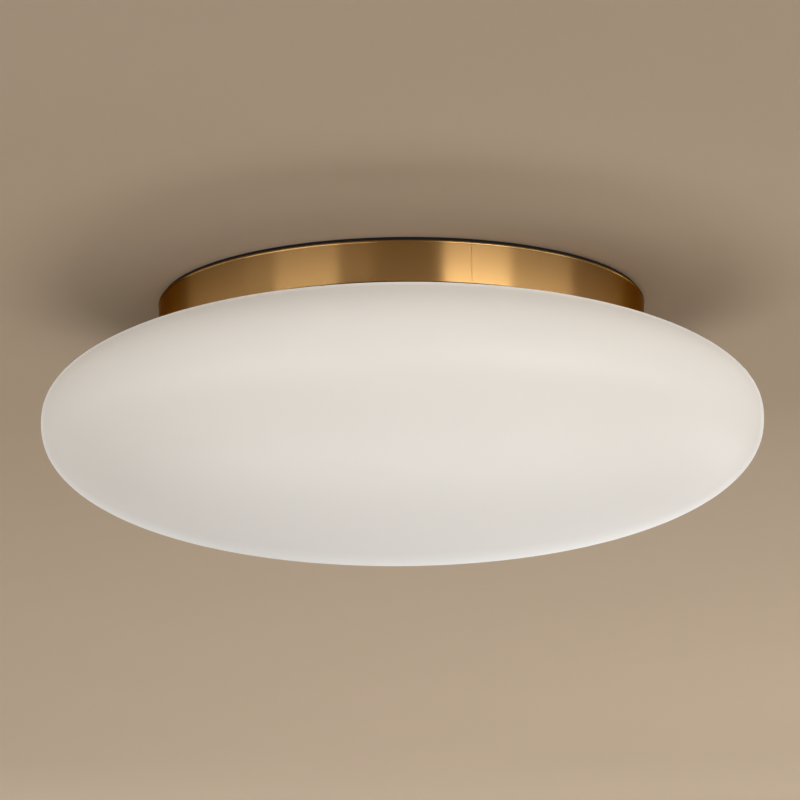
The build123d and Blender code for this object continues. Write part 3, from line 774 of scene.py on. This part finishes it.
def lead(name, slot, radius, points):
    """A lead inside the light, on one smooth spline through its route's control points."""
    curve = bpy.data.curves.new(name, "CURVE")
    curve.dimensions = "3D"
    curve.bevel_depth = radius * MM
    curve.bevel_resolution = 4
    curve.resolution_u = 10
    curve.use_fill_caps = True
    spline = curve.splines.new("NURBS")
    spline.points.add(len(points) - 1)
    for point, place in zip(spline.points, points):
        point.co = (*(length * MM for length in place), 1.0)
    spline.order_u = 3
    spline.use_endpoint_u = True
    piece = bpy.data.objects.new(name + "_sheath", curve)
    bpy.context.scene.collection.objects.link(piece)
    dress(piece, slot, "root", name)


def saddle_points(side_way):
    """The two control points of a lead that runs straight through the saddle."""
    return [
        (
            SADDLE_X + side_way * cos(SADDLE_TURN) - along * sin(SADDLE_TURN),
            SADDLE_Y + side_way * sin(SADDLE_TURN) + along * cos(SADDLE_TURN),
            SADDLE_Z,
        )
        for along in (SADDLE_REACH, -SADDLE_REACH)
    ]


lead("live_lead", "lead_brown", MAINS_RADIUS, [
    (BLOCK_X, LIVE_Y, BLOCK_Z),
    (44, LIVE_Y, BLOCK_Z),
    *saddle_points(-LEAD_SIDE),
    (72, -18, DRIVER_Z),
    (DRIVER_X, -18, DRIVER_Z),
])
lead("neutral_lead", "lead_blue", MAINS_RADIUS, [
    (BLOCK_X, NEUTRAL_Y, BLOCK_Z),
    (50, NEUTRAL_Y, BLOCK_Z),
    *saddle_points(LEAD_SIDE),
    (78, -26, DRIVER_Z),
    (DRIVER_X, -26, DRIVER_Z),
])
lead("earth_lead", "lead_green_yellow", MAINS_RADIUS, [
    (BLOCK_X, EARTH_Y, BLOCK_Z),
    (16.2, EARTH_Y, BLOCK_Z),
    (24.2, EARTH_Y, -4.7),
    (31.2, EARTH_Y, -4.7),
])
for name, slot, y in (("led_plus_lead", "lead_red", -23.5), ("led_minus_lead", "lead_black", -20.5)):
    lead(name, slot, LED_RADIUS, [
        (-DRIVER_X, y, DRIVER_Z),
        (-50, y, DRIVER_Z),
        (CONNECTOR_X, y, DRIVER_Z),
        (CONNECTOR_X, y, -19),
        (CONNECTOR_X, y, CONNECTOR_TOP),
    ])

# ---- ceiling, floor and lights ----
CEILING_COLOUR = (0.65, 0.53, 0.40)
CEILING_PAINTED_SHADE = 0.72             # share of its colour that the ceiling keeps where its painted shade is darkest, towards the front and the left
CEILING_OPENING = 0.125          # hidden by the foam, so that the light's back shows from above
FLOOR_COLOUR = (0.62, 0.56, 0.49)
FLOOR_Z = -2.4
STAGE_RADIUS = 12.0
STAGE_SIDES = 96


def stage_plane(name, z, inner, colour, grain, painted_shade=0.0, upwards=False):
    """A flat ring of plaster-like surface that can be seen through from behind, with an optional painted
    shade that grades its colour darker towards the front and left.
    """
    vertices = []
    for radius in (inner, STAGE_RADIUS):
        for step in range(STAGE_SIDES):
            angle = 2 * pi * step / STAGE_SIDES
            vertices.append((radius * cos(angle), radius * sin(angle), z))
    faces = []
    for step in range(STAGE_SIDES):
        after = (step + 1) % STAGE_SIDES
        corners = (step, after, STAGE_SIDES + after, STAGE_SIDES + step)
        faces.append(corners[::-1] if upwards else corners)
    mesh = bpy.data.meshes.new(name)
    mesh.from_pydata(vertices, [], faces)
    plane = bpy.data.objects.new(name, mesh)
    bpy.context.scene.collection.objects.link(plane)
    made = Material(name, colour, 0.9, Specular_IOR_Level=0.0)
    made.tint(made.noise(3.0, contrast=0.6), shaded(colour, 0.97))
    if painted_shade:
        # painted shade: the ceiling's colour is graded darker towards the front and the left, standing in
        # for how the light falls across it
        x, y, _ = made.axes()
        painted_shade_slant = made.maths("ADD", made.maths("MULTIPLY", x, 0.45), y)
        made.tint(made.ramp(painted_shade_slant, 1.6, -0.6), shaded(colour, painted_shade))
    made.bump(made.noise(grain, 3.0), 0.1 * MM, 0.4)
    through = made.node("BsdfTransparent")
    sides = made.node("MixShader")
    facing = made.node("NewGeometry")
    made.link(facing.outputs["Backfacing"], sides.inputs[0])
    made.link(made.shader.outputs[0], sides.inputs[1])
    made.link(through.outputs[0], sides.inputs[2])
    made.link(sides.outputs[0], made.tree.nodes["Material Output"].inputs["Surface"])
    mesh.materials.append(made.data)


stage_plane("ceiling", 0.0, CEILING_OPENING, CEILING_COLOUR, 500.0, painted_shade=CEILING_PAINTED_SHADE)
stage_plane("floor", FLOOR_Z, 0.0, FLOOR_COLOUR, 60.0, upwards=True)


LAMP_DISTANCE = 2.4
WHITE = (1.0, 1.0, 1.0)
WARM = (1.0, 0.96, 0.91)
LAMPS = (
    # name, first and last azimuth, elevation, height, power, colour
    ("key", 19, 50, -7, 0.5, 24.0, WHITE),
    ("key_low", 15, 45, -24, 0.8, 1.6, WHITE),
    ("key_side", 50, 83, -7, 0.5, 11.4, WHITE),
    ("right", 83, 122, -7, 0.5, 4.0, WARM),
    ("right_back", 122, 152, -24, 0.8, 7.5, WHITE),
    ("fill", -58, -28, -7, 0.5, 9.7, WHITE),
    ("fill_low", -75, -15, -24, 0.8, 15.5, WHITE),
    ("left", -114, -58, -7, 0.5, 8.6, WHITE),
    ("front", -28, 19, -7, 0.5, 3.2, WARM),
    ("back", 152, 208, -7, 0.5, 4.6, WHITE),
    ("back_low", 160, 200, -50, 0.9, 15.0, WHITE),
)


def softbox(name, first, last, elevation, height, power, colour):
    """A rectangular lamp between two azimuths in degrees: 0 is the camera's side and 90 its right."""
    lamp = bpy.data.lights.new(name, "AREA")
    lamp.shape = "RECTANGLE"
    lamp.size = 2 * LAMP_DISTANCE * tan(radians(last - first) / 2)
    lamp.size_y = height
    lamp.energy = power
    lamp.color = colour
    stand = bpy.data.objects.new(name, lamp)
    azimuth = radians(first + last) / 2
    rise = radians(elevation)
    way = Vector((sin(azimuth) * cos(rise), -cos(azimuth) * cos(rise), sin(rise)))
    stand.location = Vector((0, 0, WIDEST_Z)) + LAMP_DISTANCE * way
    stand.rotation_euler = (-way).to_track_quat("-Z", "Y").to_euler()
    stand.visible_camera = False
    bpy.context.scene.collection.objects.link(stand)


for lamp_values in LAMPS:
    softbox(*lamp_values)

ROOM_STRENGTH = 0.02
world = bpy.data.worlds.new("room")
world.use_nodes = True
room = world.node_tree.nodes["Background"]
room.inputs["Color"].default_value = (*FLOOR_COLOUR, 1)
room.inputs["Strength"].default_value = ROOM_STRENGTH
bpy.context.scene.world = world
